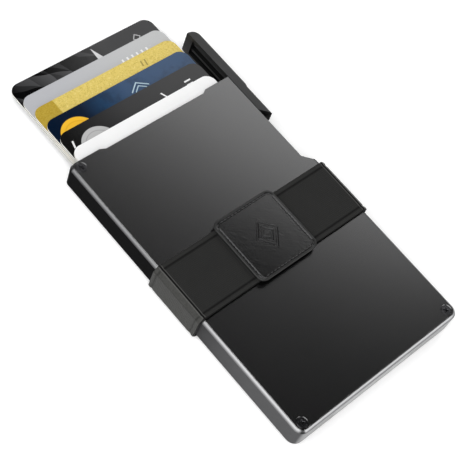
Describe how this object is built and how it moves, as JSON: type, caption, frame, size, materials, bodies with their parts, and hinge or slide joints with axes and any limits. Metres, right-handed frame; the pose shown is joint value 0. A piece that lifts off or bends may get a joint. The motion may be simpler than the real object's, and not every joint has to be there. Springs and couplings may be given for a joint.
{
  "type": "fan-out card wallet",
  "caption": "Slim metal card wallet with a side slider that fans six cards, and an elastic strap with a leather patch.",
  "frame": {"origin": "centre of the strap's back face, on which the wallet lies", "axes": "+X towards the slider's side, +Y out of the card mouth, +Z out of the front plate"},
  "size_m": [0.0674, 0.1337, 0.0116],
  "materials": {
    "frame_metal": "black anodised aluminium with bright diamond-cut chamfers",
    "plate_metal": "satin black anodised aluminium",
    "liner_plastic": "thin black low-friction film",
    "screw_steel": "black oxide steel",
    "slider_plastic": "satin black glass-filled nylon",
    "lever_plastic": "dark acetal",
    "spring_steel": "ground steel",
    "strap_fabric": "woven elastic webbing",
    "patch_leather": "fine grained black leather",
    "thread": "polyester thread",
    "card_black_pvc": "black card with grey facets",
    "card_silver_pvc": "silver satin card",
    "card_gold_pvc": "gold glitter card",
    "card_navy_pvc": "navy blue card",
    "card_charcoal_pvc": "charcoal card",
    "card_white_pvc": "white card"
  },
  "bodies": {
    "case": {"case_frame": "frame_metal", "front_plate": "plate_metal", "back_plate": "plate_metal", "front_liner": "liner_plastic", "back_liner": "liner_plastic", "front_screws": "screw_steel", "back_screws": "screw_steel", "bottom_insert": "frame_metal", "slider_guide_rail": "slider_plastic", "lever_pivot_pin": "spring_steel", "card_leaf_spring": "spring_steel", "detent_leaf_spring": "spring_steel"},
    "slider": {"eject_slider": "slider_plastic", "drive_plate": "spring_steel", "drive_stud": "spring_steel", "drive_rivets": "spring_steel"},
    "lever": {"fan_lever": "lever_plastic"},
    "strap": {"strap_band": "strap_fabric", "patch_backing": "strap_fabric", "leather_patch": "patch_leather", "patch_stitches": "thread"},
    "black_card": {"card_black": "card_black_pvc"},
    "silver_card": {"card_silver": "card_silver_pvc"},
    "gold_card": {"card_gold": "card_gold_pvc"},
    "navy_card": {"card_navy": "card_navy_pvc"},
    "charcoal_card": {"card_charcoal": "card_charcoal_pvc"},
    "white_card": {"card_white": "card_white_pvc"}
  },
  "joints": [
    {"name": "slider_slide", "type": "slide", "parent": "case", "child": "slider", "axis": [0, 1, 0], "range_m": [-0.0195, 0]},
    {"name": "lever_pivot", "type": "hinge", "parent": "case", "child": "lever", "pos_m": [-0.0248, -0.04045, 0.0053], "axis": [0, 0, 1], "range_deg": [-45, 0]},
    {"name": "strap_slide", "type": "slide", "parent": "case", "child": "strap", "axis": [0, 1, 0], "range_m": [-0.038, 0.001]},
    {"name": "black_card_slide", "type": "slide", "parent": "case", "child": "black_card", "axis": [0, 1, 0], "range_m": [-0.0343, 0]},
    {"name": "silver_card_slide", "type": "slide", "parent": "case", "child": "silver_card", "axis": [0, 1, 0], "range_m": [-0.0287, 0]},
    {"name": "gold_card_slide", "type": "slide", "parent": "case", "child": "gold_card", "axis": [0, 1, 0], "range_m": [-0.0233, 0]},
    {"name": "navy_card_slide", "type": "slide", "parent": "case", "child": "navy_card", "axis": [0, 1, 0], "range_m": [-0.0176, 0]},
    {"name": "charcoal_card_slide", "type": "slide", "parent": "case", "child": "charcoal_card", "axis": [0, 1, 0], "range_m": [-0.0116, 0]},
    {"name": "white_card_slide", "type": "slide", "parent": "case", "child": "white_card", "axis": [0, 1, 0], "range_m": [-0.0053, 0]}
  ],
  "couplings": [
    {"joint": "lever_pivot", "follows": "slider_slide", "rad_per_m": 40.276},
    {"joint": "black_card_slide", "follows": "slider_slide", "ratio": 1.759},
    {"joint": "silver_card_slide", "follows": "slider_slide", "ratio": 1.4718},
    {"joint": "gold_card_slide", "follows": "slider_slide", "ratio": 1.1949},
    {"joint": "navy_card_slide", "follows": "slider_slide", "ratio": 0.90256},
    {"joint": "charcoal_card_slide", "follows": "slider_slide", "ratio": 0.59487},
    {"joint": "white_card_slide", "follows": "slider_slide", "ratio": 0.27179}
  ]
}
